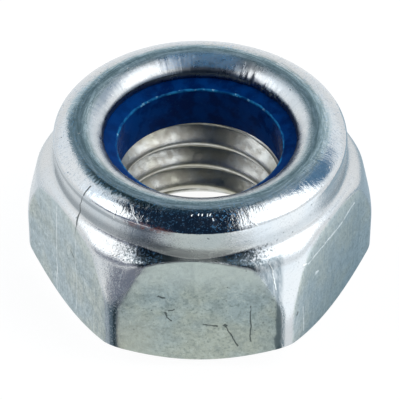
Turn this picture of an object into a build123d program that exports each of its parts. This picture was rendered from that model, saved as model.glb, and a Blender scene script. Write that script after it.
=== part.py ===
"""Nylon insert lock nut, M8 x 1.25, 13 mm across flats: a steel nut body and the nylon ring crimped into it.

All sizes are in millimetres. The nut stands on its bearing face at z = 0, the thread's axis is Z, and a flat
faces -Y.
"""

import math
import os

from build123d import *
from OCP.ShapeUpgrade import ShapeUpgrade_ShapeDivideAngle

# Thread, right-handed
thread_diameter = 8.0
thread_pitch = 1.25
thread_crest_height = 1.33  # of the lowest whole crest on the wall at +Y
tap_overlap = 0.25  # by which the groove's cutter reaches in past the crests
countersink_diameter = 9.0  # at the bearing face
countersink_angle = 90.0  # included
thread_lead_in = 0.35  # 45 degree break where the thread meets the ring's seat

# Hexagon
across_flats = 13.0
corner_trim = 0.136  # taken off the sharp corners, on the radius
bearing_inset = 0.54  # from a flat in to the round bearing face
underside_angle = 39.0  # of the chamfer under the corners
corner_height = 3.4  # where the corners begin to lean in
crown_angle = 13.0  # by which they lean
shoulder_height = 5.57  # at the rim of the shoulder round the collar
shoulder_slope = 38.0
shoulder_rim_radius = 0.3

# Collar, and the lip that is rolled in from its top
collar_inset = 0.34  # from a flat in to the collar
collar_root_radius = 0.25
collar_wall = 0.95
total_height = 7.82
crimp_depth = 0.62  # from the top of the bend down to the collar's straight wall
crimp_corner_radius = 0.25  # where the bend leaves that wall
ridge_share = 0.45  # of the way from the lip's edge out to the collar, where the bend is highest
lip_drop = 0.56  # from the top of the bend to the lip's edge
lip_clearance = 0.05  # between the thread's outside and the lip's edge
lip_edge_thickness = 0.28
lip_edge_radius = 0.12

# Nylon ring
seat_height = 4.9  # of the ledge that carries the ring
ring_bite = 0.52  # the depth to which a bolt's thread cuts into the ring
ring_clearance = 0.02  # between the ring and the steel round and over it
ring_top_slope = 19.0  # down from the lip's edge to the bore
ring_ridge_radius = 0.1

# Radii that follow
thread_height = thread_pitch * math.sqrt(3) / 2
minor_radius = thread_diameter / 2 - 5 / 8 * thread_height
flat_radius = across_flats / 2
corner_radius = flat_radius / math.cos(math.radians(30)) - corner_trim
bearing_radius = flat_radius - bearing_inset
shoulder_radius = corner_radius - (shoulder_height - corner_height) * math.tan(math.radians(crown_angle))
collar_radius = flat_radius - collar_inset
pocket_radius = collar_radius - collar_wall
lip_radius = thread_diameter / 2 + lip_clearance
ridge_radius = lip_radius + (collar_radius - lip_radius) * ridge_share
ring_outer_radius = pocket_radius - ring_clearance
ring_bore_radius = thread_diameter / 2 - ring_bite

# Heights that follow
underside_height = (corner_radius - bearing_radius) * math.tan(math.radians(underside_angle))
countersink_depth = (countersink_diameter / 2 - minor_radius) / math.tan(math.radians(countersink_angle / 2))
root_height = shoulder_height + (shoulder_radius - collar_radius) * math.tan(math.radians(shoulder_slope))
bend_height = total_height - crimp_depth
lip_height = total_height - lip_drop
lip_underside = lip_height - lip_edge_thickness
ring_height = lip_underside - ring_clearance
ring_ridge_height = ring_height - (lip_radius - ring_bore_radius) * math.tan(math.radians(ring_top_slope))

# The bend is two arcs, a tight one at the wall and a wide one over the top, that meet in a common tangent
corner_centre = (collar_radius - crimp_corner_radius, bend_height)
corner_reach = corner_centre[0] - ridge_radius
crest_square = corner_reach**2 + crimp_depth**2 - crimp_corner_radius**2
crest_radius = crest_square / (2 * (crimp_depth - crimp_corner_radius))
crest_centre = (ridge_radius, total_height - crest_radius)
meeting_angle = math.degrees(math.atan2(corner_centre[1] - crest_centre[1], corner_reach))

# The steel body is one turned section, cut by the six flats
with BuildPart() as nut_blank:
    with BuildSketch(Plane.XZ) as body_section:
        with BuildLine():
            Polyline(
                (countersink_diameter / 2, 0),
                (bearing_radius, 0),
                (corner_radius, underside_height),
                (corner_radius, corner_height),
                (shoulder_radius, shoulder_height),
                (collar_radius, root_height),
                (collar_radius, bend_height),
            )
            CenterArc(corner_centre, crimp_corner_radius, 0, meeting_angle)
            bend = CenterArc(crest_centre, crest_radius, meeting_angle, 90 - meeting_angle)
            TangentArc(bend @ 1, (lip_radius, lip_height), tangent=bend % 1)
            Polyline(
                (lip_radius, lip_height),
                (lip_radius, lip_underside),
                (pocket_radius, lip_underside),
                (pocket_radius, seat_height),
                (minor_radius + thread_lead_in, seat_height),
                (minor_radius, seat_height - thread_lead_in),
                (minor_radius, countersink_depth),
                (countersink_diameter / 2, 0),
            )
        make_face()
        for corner, radius in (
            ((shoulder_radius, shoulder_height), shoulder_rim_radius),
            ((collar_radius, root_height), collar_root_radius),
            ((lip_radius, lip_height), lip_edge_radius),
        ):
            fillet(body_section.vertices().sort_by_distance(corner)[0], radius)
    revolve(axis=Axis.Z)
    with BuildSketch():
        RegularPolygon(radius=flat_radius, side_count=6, major_radius=False)
    extrude(amount=total_height, mode=Mode.INTERSECT)

# The thread is a 60 degree groove swept along a helix from +X, a quarter of a turn before +Y
groove_height = thread_crest_height + thread_pitch / 4
groove_start = groove_height - math.ceil(groove_height / thread_pitch + 1) * thread_pitch
half_root = thread_pitch / 16
half_mouth = 3 / 8 * thread_pitch + tap_overlap * math.tan(math.radians(30))
with BuildPart() as tap:
    with BuildLine(Plane.XY.offset(groove_start)) as groove_path:
        Helix(pitch=thread_pitch, height=seat_height + thread_pitch / 2 - groove_start, radius=minor_radius)
    with BuildSketch(Plane.XZ):
        with BuildLine():
            Polyline(
                (minor_radius - tap_overlap, groove_start - half_mouth),
                (thread_diameter / 2, groove_start - half_root),
                (thread_diameter / 2, groove_start + half_root),
                (minor_radius - tap_overlap, groove_start + half_mouth),
                close=True,
            )
        make_face()
    sweep(path=groove_path.wire(), is_frenet=True)
threaded_body = nut_blank.part - tap.part

# Round faces are split into thirds of a turn, so that each stretch of the thread's crest can be measured in its
# middle
thirds = ShapeUpgrade_ShapeDivideAngle(math.radians(120), threaded_body.solid().wrapped)
thirds.Perform()
nut_body = Solid(thirds.Result())
nut_body.label = "nut_body"

# The nylon ring fills the pocket under the lip, and slopes down to its bore inside the lip's edge
with BuildPart() as nylon_insert:
    with BuildSketch(Plane.XZ) as ring_section:
        with BuildLine():
            Polyline(
                (ring_bore_radius, seat_height),
                (ring_outer_radius, seat_height),
                (ring_outer_radius, ring_height),
                (lip_radius, ring_height),
                (ring_bore_radius, ring_ridge_height),
                close=True,
            )
        make_face()
        ridge = ring_section.vertices().sort_by_distance((ring_bore_radius, ring_ridge_height))[0]
        fillet(ridge, ring_ridge_radius)
    revolve(axis=Axis.Z)
nylon_insert.part.label = "nylon_insert"

os.makedirs("parts", exist_ok=True)
export_step(nut_body, "parts/nut_body.step")
export_step(nylon_insert.part, "parts/nylon_insert.step")
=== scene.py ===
import math

import bpy
import numpy as np
from mathutils import Matrix, Vector


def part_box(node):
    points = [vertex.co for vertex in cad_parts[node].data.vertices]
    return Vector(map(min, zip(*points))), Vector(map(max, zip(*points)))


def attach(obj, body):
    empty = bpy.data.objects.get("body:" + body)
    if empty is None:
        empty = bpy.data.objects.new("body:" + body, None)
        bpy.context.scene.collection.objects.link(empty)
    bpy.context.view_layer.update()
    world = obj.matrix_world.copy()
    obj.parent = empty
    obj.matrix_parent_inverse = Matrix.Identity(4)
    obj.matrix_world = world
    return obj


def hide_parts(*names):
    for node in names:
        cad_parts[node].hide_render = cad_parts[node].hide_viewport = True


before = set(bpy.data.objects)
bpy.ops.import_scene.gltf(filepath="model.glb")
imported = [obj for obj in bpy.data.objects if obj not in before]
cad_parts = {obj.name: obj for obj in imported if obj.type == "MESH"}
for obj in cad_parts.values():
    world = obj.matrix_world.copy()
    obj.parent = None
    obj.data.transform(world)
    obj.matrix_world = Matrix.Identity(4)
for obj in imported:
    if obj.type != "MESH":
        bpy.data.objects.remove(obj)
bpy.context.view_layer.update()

# ----------------------------------------- camera
# A long lens looks down at 42 degrees on the flat that faces -Y, from nine times the width across the
# flats, with the head turned a third of a degree.
camera_elevation = math.radians(42.11)
camera_distance = 0.12025
camera_roll = math.radians(0.3)
look_at = Vector((0, 0, 0.00345))

camera_data = bpy.data.cameras.new("camera")
camera_data.lens = 253.1
camera_data.sensor_width = 36
camera_data.shift_x = 0.0005
camera_data.shift_y = 0.0043
camera_data.clip_start = 0.001
camera = bpy.data.objects.new("camera", camera_data)
towards_camera = Vector((0, -math.cos(camera_elevation), math.sin(camera_elevation)))
camera.matrix_world = (
    Matrix.Translation(look_at + camera_distance * towards_camera)
    @ Matrix.Rotation(math.pi / 2 - camera_elevation, 4, "X")
    @ Matrix.Rotation(camera_roll, 4, "Z")
)
bpy.context.scene.collection.objects.link(camera)
bpy.context.scene.camera = camera

# ----------------------------------------- studio
# A white table in a white tent. Bright windows stand at both sides, grey cards hang at the back, and a
# dark card runs from overhead down to the front, so that bright metal gets dark bands between its
# lights. Cards lie on the table round the nut, for what its lower faces mirror.
table_size = 3.0
table_colour = (0.80, 0.80, 0.80, 1)
table_roughness = 0.9
table_glow = 1.14
table_glow_share = 0.8


def add(tree, kind, inputs=None, **settings):
    """A shader node with its settings, and with each input linked to a socket or set to a value."""
    node = tree.nodes.new("ShaderNode" + kind)
    for name, value in settings.items():
        setattr(node, name, value)
    for key, value in (inputs or {}).items():
        if isinstance(value, bpy.types.NodeSocket):
            tree.links.new(value, node.inputs[key])
        else:
            node.inputs[key].default_value = value
    return node


def maths(tree, operation, first, second=0.0, clamp=False):
    """The result of one calculation on two values."""
    return add(tree, "Math", {0: first, 1: second}, operation=operation, use_clamp=clamp).outputs[0]


def new_material(name):
    """A material, its node tree and its Principled shader."""
    material = bpy.data.materials.new(name)
    material.use_nodes = True
    return material, material.node_tree, material.node_tree.nodes["Principled BSDF"]


def show(tree, shader):
    """Sends a shader to the material's surface."""
    tree.links.new(shader.outputs[0], tree.nodes["Material Output"].inputs["Surface"])


def shown_white(tree, share):
    """The share of white that camera, glossy and transmission rays get to see, as a socket."""
    path = add(tree, "LightPath").outputs
    seen = maths(tree, "ADD", path["Is Camera Ray"], path["Is Glossy Ray"])
    seen = maths(tree, "ADD", seen, path["Is Transmission Ray"], clamp=True)
    return maths(tree, "MULTIPLY", seen, share)


def put_in_scene(name, mesh):
    """A new object of the mesh, in the scene."""
    thing = bpy.data.objects.new(name, mesh)
    bpy.context.scene.collection.objects.link(thing)
    return thing


half = table_size / 2
table_mesh = bpy.data.meshes.new("table")
table_mesh.from_pydata(
    [(-half, -half, 0), (half, -half, 0), (half, half, 0), (-half, half, 0)], [], [(0, 1, 2, 3)]
)
table = put_in_scene("table", table_mesh)

table_material, tree, surface = new_material("table_white")
surface.inputs["Base Color"].default_value = table_colour
surface.inputs["Roughness"].default_value = table_roughness
glow = add(tree, "Emission", {"Strength": table_glow})
share = shown_white(tree, table_glow_share)
show(tree, add(tree, "MixShader", {"Fac": share, 1: surface.outputs[0], 2: glow.outputs[0]}))
table_mesh.materials.append(table_material)

world = bpy.data.worlds.new("tent")
bpy.context.scene.world = world
world.use_nodes = True
world.node_tree.nodes["Background"].inputs["Color"].default_value = (1, 1, 1, 1)
world.node_tree.nodes["Background"].inputs["Strength"].default_value = 1.0


def glowing(name, colour, strength):
    """A material that gives off an even light."""
    material, tree, surface = new_material(name)
    tree.nodes.remove(surface)
    show(tree, add(tree, "Emission", {"Color": (*colour, 1), "Strength": strength}))
    return material


arc_steps = 32
side_steps = 16


def studio_panel(name, arc, left, right, colour, strength, distance):
    """Part of a sphere round the nut that glows evenly. The arc angle runs from the back horizon over
    the top to the front, and the side angle leans a direction to the right. Left and right are the two
    side edges, each at the start and at the end of the arc. Cameras look through the panel, and metal
    mirrors it."""
    steps = np.linspace(0, 1, arc_steps + 1), np.linspace(0, 1, side_steps + 1)
    along, across = np.meshgrid(*steps, indexing="ij")
    arc_angle = np.radians(arc[0] + (arc[1] - arc[0]) * along)
    left_edge = left[0] + (left[1] - left[0]) * along
    right_edge = right[0] + (right[1] - right[0]) * along
    side_angle = np.radians(left_edge + (right_edge - left_edge) * across)
    reach = np.cos(side_angle)
    forward = reach * np.cos(arc_angle)
    points = distance * np.stack((np.sin(side_angle), forward, reach * np.sin(arc_angle)), axis=-1)
    row = side_steps + 1
    first = (np.arange(arc_steps)[:, None] * row + np.arange(side_steps)).ravel()
    faces = np.stack((first, first + 1, first + row + 1, first + row), axis=-1)
    mesh = bpy.data.meshes.new(name)
    mesh.from_pydata(points.reshape(-1, 3).tolist(), [], faces.tolist())
    mesh.materials.append(glowing(name, colour, strength))
    panel = put_in_scene(name, mesh)
    panel.visible_camera = False


# Each panel's name, arc, left edge and right edge in degrees, colour, strength, and distance in metres
white = (1.0, 1.0, 1.0)
cool_white = (0.96, 0.98, 1.0)
for panel in (
    ("dark_card_back", (66, 80), (-8, -24), (6, 17), (0.018, 0.045, 0.075), 1.0, 0.40),
    ("dark_card_front", (80, 180), (-32, -35), (15, 33), (0.008, 0.019, 0.040), 1.0, 0.40),
    ("blue_card_left", (57, 71), (-34, -30), (-21, -22), (0.36, 0.48, 0.56), 1.0, 0.42),
    ("dark_card_left", (57, 68), (-21, -22), (-12, -6), (0.07, 0.13, 0.16), 1.0, 0.42),
    ("pale_card_left", (72, 86), (-58, -58), (-28, -32), (1.1, 1.2, 1.3), 1.0, 0.42),
    ("pale_card_low", (16, 23), (-29, -29), (5, 5), (0.64, 0.79, 0.85), 1.0, 0.45),
    ("grey_card_edge", (23, 29), (-29, -29), (5, 5), (0.43, 0.57, 0.64), 1.0, 0.45),
    ("grey_card_low", (29, 48), (-29, -29), (1, 1), (0.18, 0.27, 0.32), 1.0, 0.45),
    ("grey_card_middle", (27, 48), (1, 1), (8, 8), (0.36, 0.49, 0.55), 1.0, 0.45),
    ("grey_card_right", (27, 48), (8, 8), (15, 15), (0.55, 0.70, 0.76), 1.0, 0.45),
    ("pale_card_right", (27, 48), (15, 15), (26, 26), (0.82, 0.95, 1.0), 1.0, 0.45),
    ("grey_card_high", (48, 72), (-29, -31), (27, 20), (0.28, 0.38, 0.45), 1.0, 0.45),
    ("blue_card_right", (44, 74), (28, 20), (53, 52), (0.13, 0.25, 0.39), 1.0, 0.46),
    ("right_window", (74, 128), (13, 13), (60, 60), white, 2.2, 0.48),
    ("left_window", (86, 110), (-58, -60), (-31, -33), white, 2.2, 0.48),
    ("left_window_low", (110, 138), (-60, -62), (-33, -46), white, 2.0, 0.48),
    ("mauve_card_left", (110, 138), (-33, -46), (-22, -22), (0.075, 0.075, 0.12), 1.0, 0.45),
    ("left_panel", (20, 138), (-75, -80), (-24, -24), cool_white, 1.15, 0.50),
    ("mauve_panel_left", (138, 180), (-75, -80), (-24, -24), (0.20, 0.22, 0.29), 1.0, 0.50),
    ("right_panel", (20, 178), (20, 24), (75, 80), cool_white, 1.15, 0.50),
):
    studio_panel(*panel)


mm = 0.001


def table_card(name, height, colour, corners):
    """A flat card at a height over the table, through the corners, both in millimetres. Only what
    mirrors shows it."""
    mesh = bpy.data.meshes.new(name)
    points = [(x * mm, y * mm, height * mm) for x, y in corners]
    mesh.from_pydata(points, [], [tuple(range(len(corners)))])
    mesh.materials.append(glowing(name, colour, 1.0))
    card = put_in_scene(name, mesh)
    card.visible_camera = False
    card.visible_diffuse = False
    card.visible_shadow = False


# Each card's name, height, colour and corners
for card in (
    ("dark_table_far", 0.01, (0.010, 0.022, 0.045),
     [(-14, -22), (12, -22), (240, -400), (-270, -400)]),
    ("grey_table_front", 0.02, (0.70, 0.76, 0.74),
     [(-3.5, -6.7), (3.4, -6.7), (4.5, -14), (7, -22), (-8.5, -22), (-4.8, -13)]),
    ("mauve_table_left", 0.03, (0.23, 0.25, 0.31),
     [(-9.5, -9.7), (-4.9, -13), (-8.5, -21), (-12, -32), (-34, -25)]),
    ("grey_table_middle", 0.025, (0.46, 0.49, 0.50),
     [(-4.9, -13), (-3.4, -13), (-6.4, -21.5), (-8.5, -21)]),
    ("grey_fan_left", 0.04, (0.40, 0.46, 0.51),
     [(-3.85, -6.2), (-9.5, -5.7), (-9.3, -8.7), (-3.75, -6.35)]),
    ("dark_fan_left", 0.04, (0.13, 0.18, 0.22),
     [(-3.75, -6.35), (-9.3, -8.7), (-8.0, -10.8), (-3.6, -6.45)]),
    ("black_fan_left", 0.04, (0.03, 0.05, 0.06),
     [(-3.6, -6.45), (-8.0, -10.8), (-5.6, -12), (-3.42, -6.5)]),
    ("dark_fan_right", 0.04, (0.17, 0.25, 0.29),
     [(3.25, -6.5), (3.85, -12), (7.1, -10.8), (3.6, -6.43)]),
    ("bright_table_right", 0.02, (1.35, 1.40, 1.44),
     [(5.5, -8.5), (5.5, -14), (12, -22), (60, -60), (60, -4), (12, -1.8), (9, -4.2)]),
    ("warm_table", 0.05, (0.16, 0.04, 0.035),
     [(-12, -24), (-7, -24), (-9, -34), (-16, -34)]),
    ("grey_table_left", 0.01, (0.86, 0.90, 0.93),
     [(-3.8, -6.6), (-40, -10), (-40, 60), (-3.8, 7)]),
    ("blue_table_right", 0.01, (0.42, 0.53, 0.61),
     [(4, -6), (9, -3.2), (12, -1), (40, 8), (40, 60), (4, 7)]),
):
    table_card(*card)

bpy.context.scene.view_settings.view_transform = "Standard"

# --------------------------------------- nut body
# A cold-formed steel hexagon with a collar, tapped and zinc plated. After the nylon ring is dropped on
# its seat, the top of the collar is rolled in over it, which leaves fine marks across the bend.
_, nut_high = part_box("nut_body")
ring_low, ring_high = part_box("nylon_insert")
flat_radius = nut_high.y
corner_radius = nut_high.x
total_height = nut_high.z
seat_height = ring_low.z

# Thread and countersink
thread_radius = 4.0 * mm
thread_pitch = 1.25 * mm
thread_break = 0.21 * mm
thread_lead_in = 0.35 * mm
crest_height = 1.33 * mm
crest_turn = 0.25
countersink_radius = 4.5 * mm
countersink_slope = 1.0

# Hexagon, and the crown that trims its corners
bearing_radius = flat_radius - 0.54 * mm
underside_slope = math.tan(math.radians(39))
corner_height = 3.4 * mm
corner_softness = math.radians(1.9)
crown_slope = math.tan(math.radians(13))
crown_softness = math.radians(3.0)
crown_break = 0.8 * mm
shoulder_height = 5.57 * mm
shoulder_slope = math.tan(math.radians(38))
rim_break = 0.30 * mm
largest_rim_share = 0.45
wall_margin_low = 0.35 * mm
wall_margin_high = 0.55 * mm
edge_break = 0.03 * mm

# Collar and lip
collar_radius = flat_radius - 0.34 * mm
collar_wall = 0.95 * mm
collar_root = 0.22 * mm
crimp_depth = 0.62 * mm
crimp_corner = 0.25 * mm
ridge_share = 0.45
lip_drop = 0.56 * mm
lip_radius = thread_radius + 0.05 * mm
lip_edge = 0.28 * mm
lip_break = 0.06 * mm
lip_short_by = 0.05

# What rolling the lip in did to the flats' top edges, and most of all to the front one
flat_lift = 0.03 * mm
flat_lift_width = 2.2 * mm
root_dip = 0.06 * mm
root_dip_width = 1.3 * mm
front_lift = 0.23 * mm
front_lift_tilt = 0.04
front_lift_width = 2.95 * mm
front_dip = 0.20 * mm
front_dip_middle = -0.4 * mm
front_dip_width = 2.45 * mm
fold_sharpens_foot = 0.75
fold_sharpens_rim = 0.82

shoulder_radius = corner_radius - (shoulder_height - corner_height) * crown_slope
root_height = shoulder_height + (shoulder_radius - collar_radius) * shoulder_slope
bend_height = total_height - crimp_depth
ridge_radius = lip_radius + (collar_radius - lip_radius) * ridge_share
corner_reach = collar_radius - crimp_corner - ridge_radius
crest_radius = (corner_reach**2 + crimp_depth**2 - crimp_corner**2) / (2 * (crimp_depth - crimp_corner))
meeting_angle = math.atan2(crest_radius - crimp_depth, corner_reach)
pocket_radius = collar_radius - collar_wall
lip_height = total_height - lip_drop
lip_underside = lip_height - lip_edge
sharp_depth = thread_pitch * math.sqrt(3) / 2
thread_depth = 5 / 8 * sharp_depth
bore_radius = thread_radius - thread_depth
crest_phase = crest_height / thread_pitch - crest_turn


# Steps to both sides, over which corners and breaks are averaged
both_sides = np.linspace(-1, 1, 7)
corner_steps = np.linspace(-1, 1, 15)


def crowded(count):
    """Shares of a leg from 0 up to, not including, 1, closer together towards both ends: half of
    1 - cosine."""
    return (1 - np.cos(np.pi * np.arange(count) / count)) / 2


def columns_round(count, strip_edge, crowd, width):
    """Angles of the columns round the axis in each sixth of a turn, measured from the middle of its
    flat. Equal steps of the summed density 1 + crowd * bell(angle from the edge of the corner strip),
    read back as angles."""
    fine = np.linspace(-np.pi / 6, np.pi / 6, 4001)
    density = 1 + crowd * np.exp(-(((np.abs(fine) - strip_edge) / width) ** 2))
    summed = np.concatenate(([0], np.cumsum((density[1:] + density[:-1]) / 2)))
    return np.interp(np.arange(count) / count * summed[-1], summed, fine)


def walk(corners, way, rounding):
    """Points after walking the lengths in way along straight legs through the corners: the first corner
    plus, for each leg, its direction times the part of the walk that lies on it. Averaging the points
    from way - rounding to way + rounding rounds the corners. Corners are indexed by corner, (r, z),
    column; way by row, column."""
    legs = np.diff(corners, axis=0)
    lengths = np.linalg.norm(legs, axis=1)
    directions = legs / lengths[:, None]
    begins = np.cumsum(lengths, axis=0) - lengths
    spots = way[..., None] + rounding[..., None] * both_sides
    walked = np.clip(spots[None] - begins[:, None, :, None], 0, lengths[:, None, :, None]).mean(axis=-1)
    return corners[0][:, None] + np.einsum("lpc,lrc->prc", directions, walked)


def legs_through(corners, counts, breaks):
    """Rows along the legs through the corners, counts[k] of them on leg k and crowded to its ends,
    rounded by breaks[k] at the corner that ends leg k: (r, z), row, column."""
    corners = np.stack([np.stack(np.broadcast_arrays(r, z)) for r, z in corners])
    lengths = np.linalg.norm(np.diff(corners, axis=0), axis=1)
    begins = np.cumsum(lengths, axis=0) - lengths
    way, rounding = [], []
    for k, count in enumerate(counts):
        shares = crowded(count)[:, None]
        way.append(begins[k] + shares * lengths[k])
        start_break = breaks[k - 1] if k else breaks[0]
        near_end = (shares > 0.5) * np.ones_like(lengths[k])
        rounding.append(start_break + (breaks[k] - start_break) * near_end)
    return walk(corners, np.concatenate(way), np.concatenate(rounding))


def arc(centre, radius, first, last, count, columns):
    """Rows on an arc: centre plus radius times cosine and sine of angles evenly spaced from first up to
    last."""
    angles = (first + (last - first) * np.arange(count) / count)[:, None] * np.ones(columns)
    return np.stack((centre[0] + radius * np.cos(angles), centre[1] + radius * np.sin(angles)))


def thread(angles, heights):
    """Radius of the tapped bore. The distance along the axis from the nearest crest, which climbs one
    pitch a turn, gives the radius: flat on the crest, 60 degree flanks down to a flat root, and both
    breaks rounded by averaging over thread_break to each side."""
    turns = heights / thread_pitch - angles / (2 * np.pi) - crest_phase
    from_crest = np.abs(turns - np.round(turns)) * thread_pitch
    cut = np.zeros_like(from_crest)
    for shift in both_sides * thread_break:
        off_crest = np.abs(from_crest + shift) - thread_pitch / 8
        cut += np.clip(off_crest * math.sqrt(3), 0, thread_depth) / len(both_sides)
    return bore_radius + cut


strip_edge = math.acos(flat_radius / corner_radius)
from_middle = columns_round(count=66, strip_edge=strip_edge, crowd=2.5, width=math.radians(0.8))
angles = (np.arange(6)[:, None] * np.pi / 3 + np.pi / 6 + from_middle).ravel()
from_flat = np.tile(from_middle, 6)
columns = len(angles)
level_ring = 0 * angles
along_flat = flat_radius * np.tan(from_flat)


def body_radius(heights):
    """Radius of the wall at a height for each column. It is the lesser of the hexagon, flat_radius /
    cos(angle from the middle of the flat), and the cone of the crown, averaged over a small window of
    angles, which rounds the corners. The window is wider on the crown, and the cone rises with the
    pushed-up edge."""
    on_crown = np.clip((heights - corner_height) / (shoulder_height - corner_height), 0, 1)
    window = corner_softness + (crown_softness - corner_softness) * on_crown
    turned = np.abs(from_flat[..., None] + window[..., None] * corner_steps)
    hexagon = flat_radius / np.cos(np.minimum(turned, np.pi / 3 - turned))
    above = heights - corner_height - lift * on_crown
    start = (np.clip(above, -crown_break, crown_break) + crown_break) ** 2 / (4 * crown_break)
    rise = np.where(above > crown_break, above, start)
    cone = corner_radius - rise * crown_slope
    rounded = np.minimum(hexagon, cone[..., None]).mean(axis=-1)
    return np.minimum(rounded, flat_radius / np.cos(from_flat))


# Rolling the lip in pressed the flat at the front up by its edge, evenly over nearly its whole width,
# and left a fold at the foot of the collar
at_front = (np.abs(angles - 1.5 * np.pi) < np.pi / 6) * np.exp(-((along_flat / front_lift_width) ** 8))
fold = at_front * np.exp(-(((along_flat - front_dip_middle) / front_dip_width) ** 2))
lift = flat_lift * np.exp(-((along_flat / flat_lift_width) ** 2)) + at_front * (
    front_lift - flat_lift - front_lift_tilt * along_flat
)
collar_foot = root_height - root_dip * np.exp(-((along_flat / root_dip_width) ** 2)) - front_dip * fold
outline = body_radius(level_ring)
wall_bottom = (outline - bearing_radius) * underside_slope

# The shoulder's rim is where its slope meets the wall, found by going back and forth between the two
rim_height = shoulder_height + level_ring
for _ in range(8):
    rim_radius = body_radius(rim_height)
    rim_height = root_height - (rim_radius - collar_radius) * shoulder_slope + lift
ledge_width = (rim_radius - collar_radius) / math.cos(math.atan(shoulder_slope))
foot_break = collar_root * (1 - fold_sharpens_foot * fold)
edge_of_rim = np.minimum(rim_break * (1 - fold_sharpens_rim * fold), largest_rim_share * ledge_width)

first_height = wall_bottom + wall_margin_low
last_height = rim_height - wall_margin_high
outside = legs_through(
    [
        (countersink_radius, level_ring),
        (bearing_radius, level_ring),
        (outline, wall_bottom),
        (outline, first_height),
    ],
    counts=(3, 7, 5),
    breaks=(edge_break,) * 3,
)
wall_rows = 26
wall_heights = first_height + (last_height - first_height) * (np.arange(wall_rows) / wall_rows)[:, None]
wall = np.stack((body_radius(wall_heights), wall_heights))
shoulder = legs_through(
    [
        (body_radius(last_height), last_height),
        (rim_radius, rim_height),
        (collar_radius, collar_foot),
        (collar_radius, bend_height + level_ring),
    ],
    counts=(9, 10, 11),
    breaks=(edge_of_rim, foot_break, edge_break),
)

# The bend is a tight arc at the wall and a wide one over the top, and the lip a third that runs down to
# its edge
bend_rows = 18
corner = arc((collar_radius - crimp_corner, bend_height), crimp_corner, 0, meeting_angle, 8, columns)
crest_centre = (ridge_radius, total_height - crest_radius)
crest = arc(crest_centre, crest_radius, meeting_angle, np.pi / 2, bend_rows, columns)
run_in = ridge_radius - lip_radius
lip_curve = (run_in**2 + lip_drop**2) / (2 * lip_drop)
lip_end = np.pi / 2 + math.asin(run_in / lip_curve) - lip_short_by
lip_centre = (ridge_radius, total_height - lip_curve)
lip = arc(lip_centre, lip_curve, np.pi / 2, lip_end, bend_rows, columns)
lip_last = (lip_centre[0] + lip_curve * math.cos(lip_end), lip_centre[1] + lip_curve * math.sin(lip_end))
inside = legs_through(
    [
        (lip_last[0], lip_last[1] + level_ring),
        (lip_radius, lip_height + level_ring),
        (lip_radius, lip_underside + level_ring),
        (pocket_radius, lip_underside + level_ring),
        (pocket_radius, seat_height + level_ring),
        (bore_radius + thread_lead_in, seat_height + level_ring),
    ],
    counts=(4, 5, 3, 2, 3),
    breaks=(lip_break,) + (edge_break,) * 4,
)

bore_rows = 100
bore_heights = seat_height * (1 - np.arange(bore_rows) / bore_rows)[:, None] * np.ones(columns)
lead_in = bore_radius + thread_lead_in - (seat_height - bore_heights)
countersink = countersink_radius - bore_heights / countersink_slope
bore_radii = np.maximum(np.maximum(thread(angles, bore_heights), lead_in), countersink)
bore = np.stack((bore_radii, bore_heights))

chance = np.random.default_rng(8)


def uneven(waves, count):
    """A sum of sines round the axis, with seeded wave numbers below the given one, phases and sizes,
    between -1 and 1."""
    numbers = chance.integers(3, waves, count)[:, None]
    phases = chance.uniform(0, 2 * np.pi, count)[:, None]
    sizes = chance.uniform(0.4, 1.0, count)[:, None]
    return (sizes * np.sin(numbers * angles + phases)).sum(axis=0) / sizes.sum()


# The lip's edge wanders, is torn over one stretch and has one nick in it, by these sizes in
# millimetres, and the bend over the top is wavy
torn_middle = math.radians(48)
torn_width = math.radians(16)
nick_middle = math.radians(56.7)
nick_width = math.radians(0.9)
wander_size = 0.03
torn_size = 0.20
nick_depth = 0.07
crimp_wave = 0.012 * mm
edge_rows = 10
torn_part = np.exp(-(((angles - torn_middle) / torn_width) ** 2))
nick = np.exp(-(((angles - nick_middle) / nick_width) ** 2))
wandering = wander_size * uneven(waves=40, count=14)
torn = torn_size * torn_part * uneven(waves=110, count=12)
edge_wander = (wandering + torn + nick_depth * nick) * mm
crimp_waves = crimp_wave * (uneven(waves=26, count=12) + 1)
down_bend = (np.arange(bend_rows) / bend_rows)[:, None]
crest[1] -= crimp_waves * np.sin(np.pi * down_bend)
lip[0] += edge_wander * down_bend**4
inside[0, :edge_rows] += edge_wander

section = np.concatenate((outside, wall, shoulder, corner, crest, lip, inside, bore), axis=1)


def closed_grid(name, section, angles):
    """A mesh from a section that may change round the axis: point (r, z) of row i at column j turned to
    (r cos angle, r sin angle, z), with rows and columns both joined end to end and faces outwards."""
    radii, heights = section
    points = np.stack((radii * np.cos(angles), radii * np.sin(angles), heights), axis=-1)
    rows, columns = radii.shape
    row, column = np.meshgrid(np.arange(rows), np.arange(columns), indexing="ij")
    next_row = (row + 1) % rows
    next_column = (column + 1) % columns
    corners = (row, column), (row, next_column), (next_row, next_column), (next_row, column)
    faces = np.stack([r * columns + c for r, c in corners], axis=-1).reshape(-1, 4)
    mesh = bpy.data.meshes.new(name)
    mesh.from_pydata(points.reshape(-1, 3).tolist(), [], faces.tolist())
    mesh.shade_smooth()
    return put_in_scene(name, mesh)


nut = closed_grid("zinc_nut", section, angles)


def ramp(tree, value, low, high, at_low=0.0, at_high=1.0):
    """A value that goes smoothly from at_low to at_high while the given one goes from low to high."""
    inputs = {0: value, 1: low, 2: high, 3: at_low, 4: at_high}
    return add(tree, "MapRange", inputs, interpolation_type="SMOOTHSTEP").outputs[0]


def fade(tree, value, low, high):
    """A value that goes smoothly from 1 down to 0 while the given one goes from low to high."""
    return ramp(tree, value, low, high, 1.0, 0.0)


def product(tree, *factors):
    """Several values multiplied."""
    result = factors[0]
    for factor in factors[1:]:
        result = maths(tree, "MULTIPLY", result, factor)
    return result


def greatest(tree, *values):
    """The largest of several values."""
    result = values[0]
    for value in values[1:]:
        result = maths(tree, "MAXIMUM", result, value)
    return result


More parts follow.
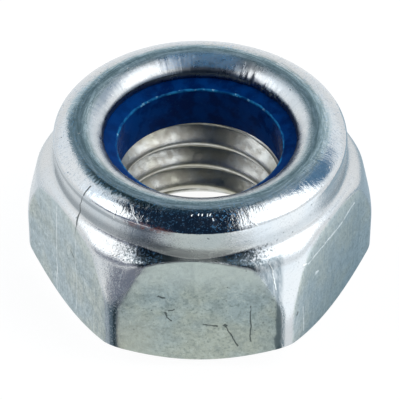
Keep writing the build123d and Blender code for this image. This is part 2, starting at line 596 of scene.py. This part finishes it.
def apart(tree, value, centre):
    """How far a value is from a centre."""
    return maths(tree, "ABSOLUTE", maths(tree, "SUBTRACT", value, centre))


def swing(tree, value, size):
    """A cloudy value made to swing round 0: size times what it is over a half."""
    return maths(tree, "MULTIPLY", maths(tree, "SUBTRACT", value, 0.5), size)


def blend(tree, share, first, second):
    """The colour that lies the given share of the way from the first to the second."""
    return add(tree, "Mix", {0: share, 6: first, 7: second}, data_type="RGBA").outputs[2]


def vector_maths(tree, operation, first, second=None):
    """The result of one calculation on a vector and a second one, or the number that it is scaled by. A
    length and a dot product are numbers."""
    inputs = {0: first}
    if second is not None:
        inputs["Scale" if operation == "SCALE" else 1] = second
    result = "Value" if operation in ("LENGTH", "DOT_PRODUCT") else "Vector"
    return add(tree, "VectorMath", inputs, operation=operation).outputs[result]


def noise(tree, where, scale, detail=2.0, roughness=0.5, output=0):
    """Cloudy values round 0.5, or colours, with about as many clouds in a unit as the scale says."""
    inputs = {"Vector": where, "Scale": scale, "Detail": detail, "Roughness": roughness}
    return add(tree, "TexNoise", inputs).outputs[output]


def millimetres(tree):
    """Object coordinates in millimetres."""
    return vector_maths(tree, "SCALE", add(tree, "TexCoord").outputs["Object"], 1 / mm)


def start_effect(name, outputs, vectors=(), values=()):
    """An empty node group with named values out, and named vectors and values in."""
    tree = bpy.data.node_groups.new(name, "ShaderNodeTree")
    for socket in vectors:
        tree.interface.new_socket(socket, in_out="INPUT", socket_type="NodeSocketVector")
    for socket in values:
        tree.interface.new_socket(socket, in_out="INPUT", socket_type="NodeSocketFloat")
    for socket in outputs:
        tree.interface.new_socket(socket, in_out="OUTPUT", socket_type="NodeSocketFloat")
    return tree, tree.nodes.new("NodeGroupOutput")


def marks_over(tree, outward, cells_round, rise):
    """Cloudy values over the direction away from the axis, with some cells round it, and over a rise
    along it."""
    spread = vector_maths(tree, "SCALE", outward, cells_round)
    axis = add(tree, "CombineXYZ", {"Z": rise}).outputs[0]
    return noise(tree, vector_maths(tree, "ADD", spread, axis), 1.0, 3.0, 0.6)


# Marks that run along the meridians, as the rolls leave them: noise over the unit vector away from the
# axis, which hardly changes along a meridian. Rings are marks round the axis. Radius and Level are the
# place on the section.
drawn_marks, outlet = start_effect("drawn_marks", ("Lines", "Bands", "Rings", "Radius", "Level"))
place = millimetres(drawn_marks)
sideways = vector_maths(drawn_marks, "MULTIPLY", place, (1, 1, 0))
outward = vector_maths(drawn_marks, "NORMALIZE", sideways)
radius = vector_maths(drawn_marks, "LENGTH", sideways)
level = add(drawn_marks, "SeparateXYZ", {0: place}).outputs["Z"]
swirl = product(drawn_marks, noise(drawn_marks, place, 0.8), 1.2)
down_section = maths(drawn_marks, "SUBTRACT", level, radius)
for outlet_name, cells_round, along in (("Lines", 46.0, 0.9), ("Bands", 9.0, 0.30)):
    rise = maths(drawn_marks, "ADD", product(drawn_marks, down_section, along), swirl)
    marks = marks_over(drawn_marks, outward, cells_round, rise)
    drawn_marks.links.new(marks, outlet.inputs[outlet_name])
rings = marks_over(drawn_marks, outward, 7.0, product(drawn_marks, radius, 13.0))
drawn_marks.links.new(rings, outlet.inputs["Rings"])
drawn_marks.links.new(radius, outlet.inputs["Radius"])
drawn_marks.links.new(level, outlet.inputs["Level"])

# The plating itself: clouds of thicker and thinner zinc, a mottle, a fine grain, and pits where single
# cells of a Voronoi pattern were picked.
plating, outlet = start_effect("zinc_plating", ("Clouds", "Mottle", "Grain", "Pits"))
place = millimetres(plating)
plating.links.new(noise(plating, place, 0.55, 3.0), outlet.inputs["Clouds"])
plating.links.new(noise(plating, place, 2.4, 4.0, 0.65), outlet.inputs["Mottle"])
plating.links.new(noise(plating, place, 12.0, 2.0, 0.6), outlet.inputs["Grain"])
cells = add(plating, "TexVoronoi", {"Vector": place, "Scale": 2.6}).outputs
cell_chance = add(plating, "SeparateColor", {0: cells["Color"]}).outputs[0]
picked = ramp(plating, cell_chance, 0.80, 0.84)
pits = product(plating, picked, fade(plating, cells["Distance"], 0.04, 0.12))
plating.links.new(pits, outlet.inputs["Pits"])

# A thin mark, used for scratches and for painted glints: 1 where the place, shaken a little by noise, is
# within the reach of its middle along it and within the width across it, with broken edges. Middle and
# Aside are its middle's place on the two directions, and Reach is half its length.
line_mark, outlet = start_effect(
    "line_mark", ("Mask",), vectors=("Along", "Across"), values=("Middle", "Aside", "Reach", "Width")
)
inlet = line_mark.nodes.new("NodeGroupInput")
place = millimetres(line_mark)
shake = noise(line_mark, place, 1.8, 3.0, output="Color")
shake = vector_maths(line_mark, "SCALE", vector_maths(line_mark, "SUBTRACT", shake, (0.5, 0.5, 0.5)), 0.22)
shaken = vector_maths(line_mark, "ADD", place, shake)
thin = product(line_mark, inlet.outputs["Width"], ramp(line_mark, noise(line_mark, place, 4.0), 0.28, 0.5))
outside_it = []
for way, middle, reach in (("Along", "Middle", inlet.outputs["Reach"]), ("Across", "Aside", thin)):
    directed = vector_maths(line_mark, "DOT_PRODUCT", shaken, inlet.outputs[way])
    from_it = apart(line_mark, directed, inlet.outputs[middle])
    outside_it.append(maths(line_mark, "SUBTRACT", from_it, reach))
mask = fade(line_mark, greatest(line_mark, *outside_it), -0.01, 0.02)
line_mark.links.new(mask, outlet.inputs["Mask"])

# How far the way out of the surface leans up for each step outwards, on the shoulder and over the bend,
# at levels in millimetres
lean_levels = (5.6, 5.75, 6.05, 6.2, 7.15, 7.8)
leans = (0, 1.3, 1.3, 0, 0, 5)


def line_marks(tree, lines, front):
    """The strongest of the masks of several thin marks on the front half, scratches and painted glints
    among them, each given as start, end and width in millimetres. Across is square to the mark and to
    the way out of the surface."""
    strongest = 0.0
    for start, end, width in lines:
        line = Vector(end) - Vector(start)
        middle = (Vector(end) + Vector(start)) / 2
        along = line.normalized()
        outward = Vector((middle.x, middle.y, 0)).normalized()
        outward.z = np.interp(middle.z, lean_levels, leans)
        across = line.cross(outward).normalized()
        inputs = {"Along": along, "Across": across, "Reach": line.length / 2, "Width": width}
        inputs.update({"Middle": middle.dot(along), "Aside": middle.dot(across)})
        mask = add(tree, "Group", inputs, node_tree=line_mark).outputs["Mask"]
        strongest = maths(tree, "MAXIMUM", mask, strongest)
    return product(tree, strongest, front)


def bumped(tree, heights):
    """The normal of a surface raised by several values, each with the height in metres that it makes at
    1."""
    inputs = {"Strength": 1.0}
    for value, rise in heights:
        inputs["Normal"] = add(tree, "Bump", {**inputs, "Height": value, "Distance": rise}).outputs[0]
    return inputs["Normal"]


# Colours of the plate where it is polished, where it is pressed, of what lies on both, and of painted
# light and shade
blue_bright = (0.60, 0.64, 0.67, 1)
grey_bright = (0.64, 0.66, 0.67, 1)
roller_line = (0.40, 0.45, 0.48, 1)
turned_ring = (0.28, 0.34, 0.34, 1)
bright_grain = (0.36, 0.40, 0.42, 1)
scuffed = (0.24, 0.29, 0.32, 1)
fringe_black = (0.05, 0.09, 0.10, 1)
blue_dull = (0.45, 0.53, 0.56, 1)
green_dull = (0.52, 0.56, 0.52, 1)
dark_mottle = (0.36, 0.42, 0.43, 1)
pale_mottle = (0.62, 0.67, 0.66, 1)
dark_streak = (0.32, 0.39, 0.42, 1)
dark_fleck = (0.27, 0.33, 0.33, 1)
pale_fleck = (0.66, 0.72, 0.71, 1)
dull_grain = (0.22, 0.27, 0.27, 1)
pale_top = (0.74, 0.80, 0.79, 1)
warm_foot = (0.68, 0.66, 0.56, 1)
painted_right_flat_shade = (0.22, 0.31, 0.35, 1)
painted_dark_reflection = (0.14, 0.18, 0.20, 1)
painted_light_patch = (0.76, 0.79, 0.74, 1)
wall_shade = (0.16, 0.19, 0.21, 1)
painted_fold_shade = (0.03, 0.06, 0.08, 1)
painted_edge_shade = (0.05, 0.09, 0.14, 1)
dark_mark = (0.08, 0.10, 0.10, 1)
scratch_and_glint_pale = (0.80, 0.84, 0.84, 1)
pit_grey = (0.13, 0.15, 0.15, 1)
speck_and_reflection_blue = (0.18, 0.50, 0.88, 1)
rust_brown = (0.36, 0.13, 0.10, 1)
glint_pale = (0.75, 0.85, 0.92, 1)

# Bright zinc plate over the outside. The depth below the plane of the nearest flat, from the largest of
# three products with the flats' directions, tells the pressed flats from the rolled and turned
# surfaces. Its places are in millimetres: x to the right, y to the back, and radius and level.
plate, tree, surface = new_material("zinc_plate")
place = millimetres(tree)
x_place, y_place = add(tree, "SeparateXYZ", {0: place}).outputs[:2]
lines, bands, rings, radius, level = add(tree, "Group", node_tree=drawn_marks).outputs
clouds, mottle, grain, pits = add(tree, "Group", node_tree=plating).outputs
reaches = []
for turn in (30, 90, 150):
    facing = (math.cos(math.radians(turn)), math.sin(math.radians(turn)), 0)
    reaches.append(maths(tree, "ABSOLUTE", vector_maths(tree, "DOT_PRODUCT", place, facing)))
below = maths(tree, "SUBTRACT", flat_radius / mm, greatest(tree, *reaches))
towards_side = greatest(tree, reaches[0], reaches[2])
on_front = ramp(tree, maths(tree, "SUBTRACT", reaches[1], towards_side), -0.1, 0.1)
ragged = swing(tree, mottle, 0.06)
ragged_below = maths(tree, "ADD", below, ragged)
on_flat = fade(tree, ragged_below, 0.006, 0.045)
on_bend = ramp(tree, level, 7.20, 7.45)
on_top = ramp(tree, level, 7.73, 7.79)
front_half = fade(tree, y_place, -1.3, -1.0)
upright = vector_maths(tree, "MULTIPLY", place, (7.0, 7.0, 0.7))
streaks = noise(tree, upright, 1.0, 4.0, 0.65)
flecks = noise(tree, place, 6.5, 3.0, 0.7)
speck = noise(tree, place, 11.0, 2.0, 0.6)

# Where it is rolled or turned: clouds, the rolls' lines on the bend, the finer rings on its top, and
# the grain
bright = blend(tree, ramp(tree, clouds, 0.35, 0.65), blue_bright, grey_bright)
line_share = product(tree, ramp(tree, lines, 0.52, 0.68, 0.0, 0.3), on_bend)
bright = blend(tree, line_share, bright, roller_line)
ring_share = product(tree, ramp(tree, rings, 0.38, 0.60, 0.0, 0.7), on_top)
bright = blend(tree, ring_share, bright, turned_ring)
bright = blend(tree, ramp(tree, grain, 0.56, 0.70, 0.0, 0.40), bright, bright_grain)

# A haze of fine scuffs on the crown at the front's right corner, up to the bright strip there
hazed = product(tree, fade(tree, x_place, 3.26, 3.50), ramp(tree, x_place, 1.4, 2.0), front_half)
hazed = product(tree, hazed, ramp(tree, radius, 6.58, 6.66), ramp(tree, streaks, 0.40, 0.62, 1.0, 0.45))
bright = blend(tree, hazed, bright, scuffed)

# A jagged dark fringe just outside the top of the bend, at the left of the front
jagged = maths(tree, "ADD", radius, swing(tree, lines, 0.9))
fringe = product(tree, ramp(tree, radius, 5.24, 5.32), ramp(tree, jagged, 5.46, 5.54, 0.85, 0.0))
fringe = product(tree, fringe, ramp(tree, x_place, -5.2, -4.2), fade(tree, x_place, -2.0, -1.4))
fringe = product(tree, fringe, front_half, ramp(tree, level, 7.55, 7.60))
bright = blend(tree, fringe, bright, fringe_black)

# Where it is pressed: clouds, a dark and a pale mottle, upright streaks off the front flat, flecks and
# the grain
dull = blend(tree, ramp(tree, clouds, 0.38, 0.62), blue_dull, green_dull)
dull = blend(tree, ramp(tree, mottle, 0.50, 0.66, 0.0, 0.6), dull, dark_mottle)
dull = blend(tree, ramp(tree, mottle, 0.34, 0.48, 0.5, 0.0), dull, pale_mottle)
off_front = maths(tree, "SUBTRACT", 1.0, on_front)
streaked = product(tree, ramp(tree, streaks, 0.48, 0.68, 0.0, 0.7), off_front)
dull = blend(tree, streaked, dull, dark_streak)
dull = blend(tree, ramp(tree, flecks, 0.53, 0.66, 0.0, 0.75), dull, dark_fleck)
dull = blend(tree, ramp(tree, flecks, 0.33, 0.44, 0.6, 0.0), dull, pale_fleck)
dull = blend(tree, ramp(tree, grain, 0.55, 0.70, 0.0, 0.7), dull, dull_grain)

# The flats are paler towards their tops, warmer low on the front one, and cooler on the right one
paler = product(tree, ramp(tree, level, 3.9, 5.4, 0.0, 0.7), ramp(tree, on_front, 0.0, 1.0, 0.35, 1.0))
dull = blend(tree, paler, dull, pale_top)
warm = product(tree, ramp(tree, level, 1.8, 3.8, 0.5, 0.0), on_front)
warm = product(tree, warm, ramp(tree, x_place, -2.6, -1.2, 1.0, 0.35))
dull = blend(tree, warm, dull, warm_foot)
# Painted shade darkens and cools the right flat
right_flat_shade_share = product(tree, ramp(tree, x_place, 3.9, 4.6, 0.0, 0.28), front_half, fade(tree, level, 4.6, 5.4))
dull = blend(tree, right_flat_shade_share, dull, painted_right_flat_shade)

# The front flat's right edge is rolled over, with a painted dark reflection along a line that leans in
# above
lean = product(tree, maths(tree, "MAXIMUM", maths(tree, "SUBTRACT", level, 3.9), 0.0), 0.4)
slanted = maths(tree, "ADD", maths(tree, "ADD", x_place, lean), product(tree, ragged, 5.0))
dark_reflection_share = product(tree, ramp(tree, slanted, 3.10, 3.22), front_half, on_front)
dark_reflection_share = product(tree, dark_reflection_share, ramp(tree, level, 3.9, 5.3, 0.85, 0.0))
dull = blend(tree, dark_reflection_share, dull, painted_dark_reflection)
metal = blend(tree, on_flat, bright, dull)

# Painted light: a dull pale patch at the foot of the collar, over the fold, where the wall mirrors light
on_foot = product(tree, fade(tree, apart(tree, x_place, -0.3), 1.0, 3.0), front_half)
on_foot = product(tree, on_foot, fade(tree, level, 6.2, 6.6), ramp(tree, level, 5.6, 5.7))
on_foot = product(tree, on_foot, fade(tree, radius, 6.165, 6.19))
metal = blend(tree, on_foot, metal, painted_light_patch)

# Shading on the collar's wall, to both sides of the front's middle, and a band of it under the bend at
# the left
left_shade = ramp(tree, x_place, -1.6, -0.9, 0.60, 0.0)
right_shade = ramp(tree, x_place, 1.2, 3.0, 0.0, 0.22)
shade = maths(tree, "ADD", left_shade, right_shade)
shade = product(tree, shade, fade(tree, level, 6.40, 6.85), ramp(tree, level, 6.12, 6.24))
under_bend = product(tree, ramp(tree, x_place, -2.6, -1.2, 0.5, 0.0), ramp(tree, level, 6.94, 7.04))
under_bend = product(tree, under_bend, fade(tree, level, 7.14, 7.24))
shade = product(tree, greatest(tree, shade, under_bend), front_half, fade(tree, radius, 6.20, 6.26))
metal = blend(tree, shade, metal, wall_shade)

# Painted shade in the fold, weaker at its middle and broken up at its ends
spread = maths(tree, "ADD", apart(tree, x_place, -0.2), swing(tree, speck, 4.0))
in_fold = product(tree, fade(tree, spread, 1.9, 3.2), front_half, ramp(tree, radius, 6.165, 6.20))
in_fold = product(tree, in_fold, ramp(tree, ragged_below, 0.010, 0.045), ramp(tree, level, 5.60, 5.70))
in_fold = product(tree, in_fold, ramp(tree, apart(tree, x_place, -0.05), 0.4, 1.2, 0.25, 0.92))
metal = blend(tree, in_fold, metal, painted_fold_shade)

# Painted shade on the lip's edge, where it is bent in over the ring
metal = blend(tree, ramp(tree, radius, 4.08, 4.16, 0.8, 0.0), metal, painted_edge_shade)

dark_marks = line_marks(
    tree,
    [
        # Crack and hooked cut on the front flat
        ((2.10, -6.5, 3.55), (2.13, -6.5, 1.52), 0.022),
        ((1.05, -6.5, 2.44), (1.64, -6.5, 1.28), 0.03),
        ((1.00, -6.5, 2.50), (1.14, -6.5, 2.36), 0.07),
        # Short curls on it
        ((-1.70, -6.5, 4.10), (-1.40, -6.5, 3.98), 0.035),
        ((-1.42, -6.5, 3.20), (-1.30, -6.5, 2.86), 0.028),
        ((-1.30, -6.5, 3.30), (-1.02, -6.5, 3.34), 0.022),
        ((-1.30, -6.5, 2.86), (-1.16, -6.5, 2.66), 0.028),
        ((0.20, -6.5, 2.46), (0.75, -6.5, 2.40), 0.03),
        # Nick in the left flat, and pit at the right corner
        ((-5.38, -3.69, 4.05), (-5.22, -3.95, 3.85), 0.03),
        ((4.04, -6.00, 2.66), (4.09, -5.92, 2.56), 0.08),
        # Hairline from the bend down over the collar at the left
        ((-4.46, -3.66, 7.62), (-4.75, -3.90, 7.28), 0.022),
        ((-4.75, -3.90, 7.28), (-4.92, -3.70, 6.55), 0.022),
        ((-4.92, -3.70, 6.55), (-4.95, -3.75, 5.98), 0.022),
        ((-4.95, -3.75, 5.98), (-5.06, -4.11, 5.80), 0.025),
        ((-5.06, -4.11, 5.80), (-5.16, -4.07, 5.2), 0.012),
    ],
    front_half,
)
scratches_and_painted_glints = line_marks(
    tree,
    [
        # Scratch across the top of the right flat
        ((6.48, -1.77, 5.05), (5.78, -2.98, 4.74), 0.05),
        ((5.78, -2.98, 4.74), (5.26, -3.90, 4.79), 0.045),
        ((5.26, -3.90, 4.79), (4.56, -5.10, 4.78), 0.045),
        ((4.56, -5.10, 4.78), (4.30, -5.55, 4.95), 0.05),
        # Line down the left flat
        ((-5.95, -2.68, 5.60), (-6.07, -2.48, 0.60), 0.02),
        # Dashes on the bend at the left
        ((-3.54, -4.75, 7.51), (-3.37, -5.01, 7.42), 0.03),
        ((-3.37, -5.01, 7.42), (-3.50, -5.07, 7.09), 0.03),
        ((-2.76, -4.88, 7.69), (-2.63, -5.30, 7.52), 0.03),
        ((-2.63, -5.30, 7.52), (-2.43, -5.60, 7.36), 0.03),
        ((-3.21, -5.12, 7.42), (-3.05, -4.99, 7.57), 0.03),
        # Ticks left by the rolls on it at the front, and a painted glint to their right
        ((-0.29, -5.49, 7.735), (-0.34, -5.58, 7.70), 0.004),
        ((-0.02, -5.49, 7.735), (-0.05, -5.58, 7.70), 0.004),
        ((0.10, -5.49, 7.735), (0.08, -5.58, 7.70), 0.004),
        ((0.31, -5.48, 7.74), (0.29, -5.59, 7.70), 0.006),
        ((0.45, -5.49, 7.735), (0.41, -5.57, 7.70), 0.004),
        ((0.52, -5.66, 7.66), (0.55, -5.74, 7.63), 0.01),
        ((2.05, -5.65, 7.44), (2.37, -5.66, 7.29), 0.018),
        # Painted highlights on the left corner, a dent in the right flat, the right corner and the front
        # flat's right edge
        ((-5.13, -4.10, 5.0), (-5.16, -4.05, 0.9), 0.012),
        ((4.80, -4.66, 3.72), (4.98, -4.38, 3.62), 0.07),
        ((4.33, -5.51, 2.65), (4.37, -5.43, 1.12), 0.014),
        ((2.98, -6.40, 5.62), (3.16, -6.45, 4.40), 0.02),
    ],
    front_half,
)
metal = blend(tree, product(tree, dark_marks, 0.85), metal, dark_mark)
# Pale scratches, and painted glints and highlights
metal = blend(tree, scratches_and_painted_glints, metal, scratch_and_glint_pale)
metal = blend(tree, product(tree, pits, 0.7), metal, pit_grey)
tree.links.new(metal, surface.inputs["Base Color"])
tree.links.new(maths(tree, "SUBTRACT", 1.0, product(tree, on_foot, 0.75)), surface.inputs["Metallic"])

# Rougher where it is pressed, and a little rougher on the lip inside the bend and on the collar below it
below_bend = product(tree, ramp(tree, level, 6.95, 7.2, 0.12, 0.0), ramp(tree, level, 5.0, 5.6))
rougher = greatest(tree, ramp(tree, radius, 4.65, 4.95, 0.17, 0.0), below_bend)
bright_roughness = maths(tree, "ADD", ramp(tree, mottle, 0.3, 0.7, 0.08, 0.17), rougher)
dull_roughness = ramp(tree, mottle, 0.3, 0.7, 0.34, 0.50)
both = {0: on_flat, 2: bright_roughness, 3: dull_roughness}
tree.links.new(add(tree, "Mix", both, data_type="FLOAT").outputs[0], surface.inputs["Roughness"])

sparkle = noise(tree, place, 26.0, 1.0)
heights = (
    (bands, 1.6e-5),
    (product(tree, lines, maths(tree, "ADD", 0.25, on_bend)), 4.5e-6),
    (product(tree, rings, on_top), 4.0e-6),
    (product(tree, mottle, maths(tree, "ADD", 0.5, on_flat)), 1.1e-5),
    (product(tree, flecks, maths(tree, "ADD", on_flat, 0.15)), 1.7e-5),
    (grain, 3.0e-6),
    (product(tree, sparkle, ramp(tree, level, 6.9, 7.3, 2.5, 1.0)), 1.6e-6),
    (pits, -1.2e-5),
    (dark_marks, -1.2e-5),
    (scratches_and_painted_glints, 1.2e-5),
)
tree.links.new(bumped(tree, heights), surface.inputs["Normal"])

# Spots where the plate scatters light and mirrors none: a painted blue reflection inside the lip at the
# back, specks over the bend, a rusty stain on it, painted pale glints on the crown at the left corner,
# and specks along the fold
painted_blue_reflection = product(tree, ramp(tree, radius, 4.15, 4.25), fade(tree, radius, 4.6, 4.9))
painted_blue_reflection = product(tree, painted_blue_reflection, ramp(tree, y_place, 3.2, 3.9), ramp(tree, grain, 0.35, 0.65, 1.3, 0.6))
painted_blue_reflection = product(tree, painted_blue_reflection, ramp(tree, apart(tree, x_place, 0.0), 1.1, 2.2, 0.30, 0.0))
specks = product(tree, ramp(tree, speck, 0.56, 0.66, 0.0, 0.22), ramp(tree, level, 7.2, 7.3))
specks = product(tree, specks, ramp(tree, radius, 5.0, 5.2))
specks = product(tree, specks, ramp(tree, apart(tree, x_place, 1.1), 0.2, 0.9, 2.2, 1.0))
stained = product(tree, ramp(tree, apart(tree, x_place, -2.1), 0.5, 1.2, 0.45, 0.0), front_half)
stained = product(tree, stained, ramp(tree, level, 7.05, 7.12), fade(tree, level, 7.28, 7.44))
stained = product(tree, stained, ramp(tree, noise(tree, place, 5.0, 3.0), 0.40, 0.56))
painted_crown_glints = product(tree, ramp(tree, speck, 0.54, 0.66, 0.0, 0.40), fade(tree, x_place, -3.3, -2.6))
painted_crown_glints = product(tree, painted_crown_glints, front_half, maths(tree, "SUBTRACT", 1.0, on_flat))
painted_crown_glints = product(tree, painted_crown_glints, ramp(tree, radius, 6.60, 6.70))
along_fold = apart(tree, x_place, -0.2)
fold_specks = product(tree, ramp(tree, along_fold, 0.9, 1.6), fade(tree, along_fold, 2.8, 3.6))
fold_specks = product(tree, fold_specks, ramp(tree, speck, 0.48, 0.66, 0.0, 0.20), front_half)
fold_specks = product(tree, fold_specks, ramp(tree, level, 5.74, 5.80), fade(tree, level, 6.08, 6.14))
fold_specks = product(tree, fold_specks, ramp(tree, radius, 6.17, 6.20), ramp(tree, below, 0.02, 0.05))
spot_colour = blend(tree, ramp(tree, stained, 0.02, 0.10), speck_and_reflection_blue, rust_brown)
spot_colour = blend(tree, fade(tree, level, 5.6, 5.75), spot_colour, glint_pale)
scattering = add(tree, "BsdfDiffuse", {"Color": spot_colour}).outputs[0]
share = greatest(tree, painted_blue_reflection, specks, stained, painted_crown_glints, fold_specks)
show(tree, add(tree, "MixShader", {0: share, 1: surface.outputs[0], 2: scattering}))

# The tapped bore: torn by the tap and thinly plated, so it is duller and has brownish clouds.
grey_tapped = (0.62, 0.64, 0.62, 1)
brown_tapped = (0.50, 0.50, 0.43, 1)
torn_brown = (0.50, 0.48, 0.42, 1)
tapped, tree, surface = new_material("tapped_zinc")
clouds, mottle, grain, pits = add(tree, "Group", node_tree=plating).outputs
metal = blend(tree, ramp(tree, clouds, 0.42, 0.58), grey_tapped, brown_tapped)
metal = blend(tree, ramp(tree, mottle, 0.45, 0.62, 0.0, 0.6), metal, torn_brown)
tree.links.new(metal, surface.inputs["Base Color"])
surface.inputs["Metallic"].default_value = 1
tree.links.new(ramp(tree, mottle, 0.3, 0.7, 0.32, 0.46), surface.inputs["Roughness"])
tree.links.new(bumped(tree, ((mottle, 1.6e-5), (grain, 2.0e-6))), surface.inputs["Normal"])

nut.data.materials.append(plate)
nut.data.materials.append(tapped)
ledge_rows = 2
first_tapped = section.shape[1] - bore.shape[1] - ledge_rows
face_row = np.arange(len(nut.data.polygons)) // columns
nut.data.polygons.foreach_set("material_index", (face_row >= first_tapped).astype(np.int32))
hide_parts("nut_body")
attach(nut, "root")

# ------------------------------------- nylon ring
# A moulded nylon ring that sits on a ledge above the thread. Its bore is smaller than the bolt, so that
# the bolt cuts its own thread in it and is gripped.
ring_radius = ring_high.x
ring_height = ring_high.z
ring_bore = thread_radius - 0.52 * mm
ring_slope = math.tan(math.radians(19))
ridge_height = ring_height - (lip_radius - ring_bore) * ring_slope
closing_step = 0.01 * mm

ring_angles = np.linspace(0, 2 * np.pi, 240, endpoint=False)
flat_ring = 0 * ring_angles
ring_section = legs_through(
    [
        (ring_bore, seat_height + flat_ring),
        (ring_radius, seat_height + flat_ring),
        (ring_radius, ring_height + flat_ring),
        (lip_radius, ring_height + flat_ring),
        (ring_bore, ridge_height + flat_ring),
        (ring_bore, seat_height + closing_step + flat_ring),
    ],
    counts=(3, 3, 4, 12, 14),
    breaks=(edge_break,) * 5,
)
ring = closed_grid("nylon_ring", ring_section, ring_angles)

# Deep blue, cloudy and grained, with painted light at the left, and a painted highlight on the ridge
# at its bore
deep_blue = (0.0, 0.017, 0.105, 1)
dyed_blue = (0.0, 0.040, 0.200, 1)
grain_blue = (0.03, 0.10, 0.25, 1)
painted_lit_blue = (0.004, 0.085, 0.38, 1)
highlight_blue = (0.02, 0.22, 0.50, 1)
glint_blue = (0.25, 0.55, 0.80, 1)
ridge_place = 3.50
nylon, tree, surface = new_material("blue_nylon")
place = millimetres(tree)
axes = add(tree, "SeparateXYZ", {0: place}).outputs
from_axis = vector_maths(tree, "LENGTH", vector_maths(tree, "MULTIPLY", place, (1, 1, 0)))
cloudy = noise(tree, place, 1.6, 4.0)
grainy = noise(tree, place, 9.0)
wander = swing(tree, noise(tree, place, 3.0, 3.0), 0.16)
off_ridge = maths(tree, "ADD", maths(tree, "SUBTRACT", from_axis, ridge_place), wander)
off_ridge = maths(tree, "ABSOLUTE", off_ridge)
# A painted highlight, with painted glints, along the ridge at the bore
ridge = product(tree, fade(tree, off_ridge, 0.01, 0.07), ramp(tree, axes["Z"], 6.66, 6.73))
ridge = product(tree, ridge, ramp(tree, noise(tree, place, 2.2, 4.0, 0.65), 0.38, 0.62, 0.2, 1.0))
ridge_glints = product(tree, ridge, ramp(tree, noise(tree, place, 4.2, 2.0), 0.62, 0.70))
nylon_colour = blend(tree, ramp(tree, cloudy, 0.35, 0.65), deep_blue, dyed_blue)
nylon_colour = blend(tree, ramp(tree, grainy, 0.60, 0.75, 0.0, 0.25), nylon_colour, grain_blue)
# Painted light on the left side
nylon_colour = blend(tree, ramp(tree, axes["X"], -3.6, -1.6, 0.28, 0.0), nylon_colour, painted_lit_blue)
nylon_colour = blend(tree, ridge, nylon_colour, highlight_blue)
nylon_colour = blend(tree, ridge_glints, nylon_colour, glint_blue)
tree.links.new(nylon_colour, surface.inputs["Base Color"])
tree.links.new(ramp(tree, cloudy, 0.3, 0.7, 0.20, 0.34), surface.inputs["Roughness"])
surface.inputs["Specular IOR Level"].default_value = 0.02
tree.links.new(bumped(tree, ((cloudy, 1.5e-5), (grainy, 2.0e-6))), surface.inputs["Normal"])
ring.data.materials.append(nylon)
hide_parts("nylon_insert")
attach(ring, "root")
